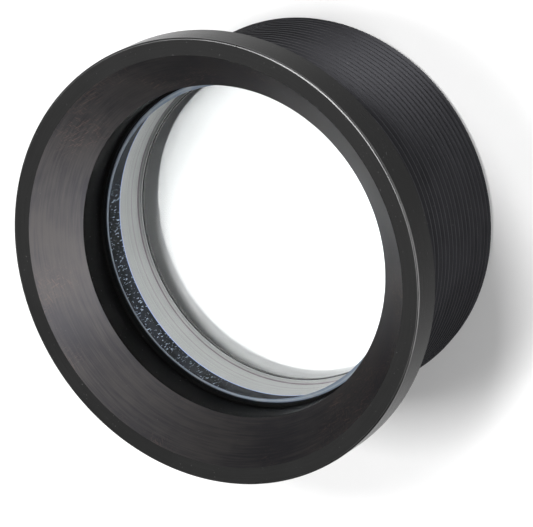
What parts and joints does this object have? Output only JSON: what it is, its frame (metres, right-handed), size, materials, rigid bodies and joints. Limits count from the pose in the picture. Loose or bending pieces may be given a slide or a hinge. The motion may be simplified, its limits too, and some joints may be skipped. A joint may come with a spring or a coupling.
{
  "type": "barlow lens",
  "caption": "Bell-fronted auxiliary barlow lens: black turned housing with a wide conical mouth, a clear cemented lens and a long fine mounting thread.",
  "frame": {"origin": "centre of the rear face, on the optical axis, where the lens stands when it rests on its thread end", "axes": "+Z along the optical axis from the rear face to the mouth; the spanner slots of the retaining ring lie along X"},
  "size_m": [0.0425, 0.0424, 0.0214],
  "materials": {
    "black_anodised": "black anodised, turned, satin",
    "black_ring": "matte black anodised",
    "shim": "matte",
    "slip": "natural acetal, matte",
    "crown_glass": "polished faces, blackened ground edge",
    "flint_glass": "polished faces, fine ground edge",
    "cement": "clear cured cement"
  },
  "bodies": {
    "housing": {"housing": "black_anodised", "seat_shim": "shim", "front_element": "crown_glass", "cement_layer": "cement", "rear_element": "flint_glass"},
    "slip_ring": {"slip_ring": "slip"},
    "retaining_ring": {"retaining_ring": "black_ring"}
  },
  "joints": [
    {"name": "slip_ring_slide", "type": "slide", "parent": "housing", "child": "slip_ring", "axis": [0, 0, -1], "range_m": [0, 0.0012]},
    {"name": "ring_turn", "type": "hinge", "parent": "slip_ring", "child": "retaining_ring", "pos_m": [0, 0, 0.0021], "axis": [0, 0, -1], "range_deg": [0, 863.9]}
  ],
  "couplings": [
    {"joint": "slip_ring_slide", "follows": "ring_turn", "m_per_rad": 0.000079577}
  ]
}
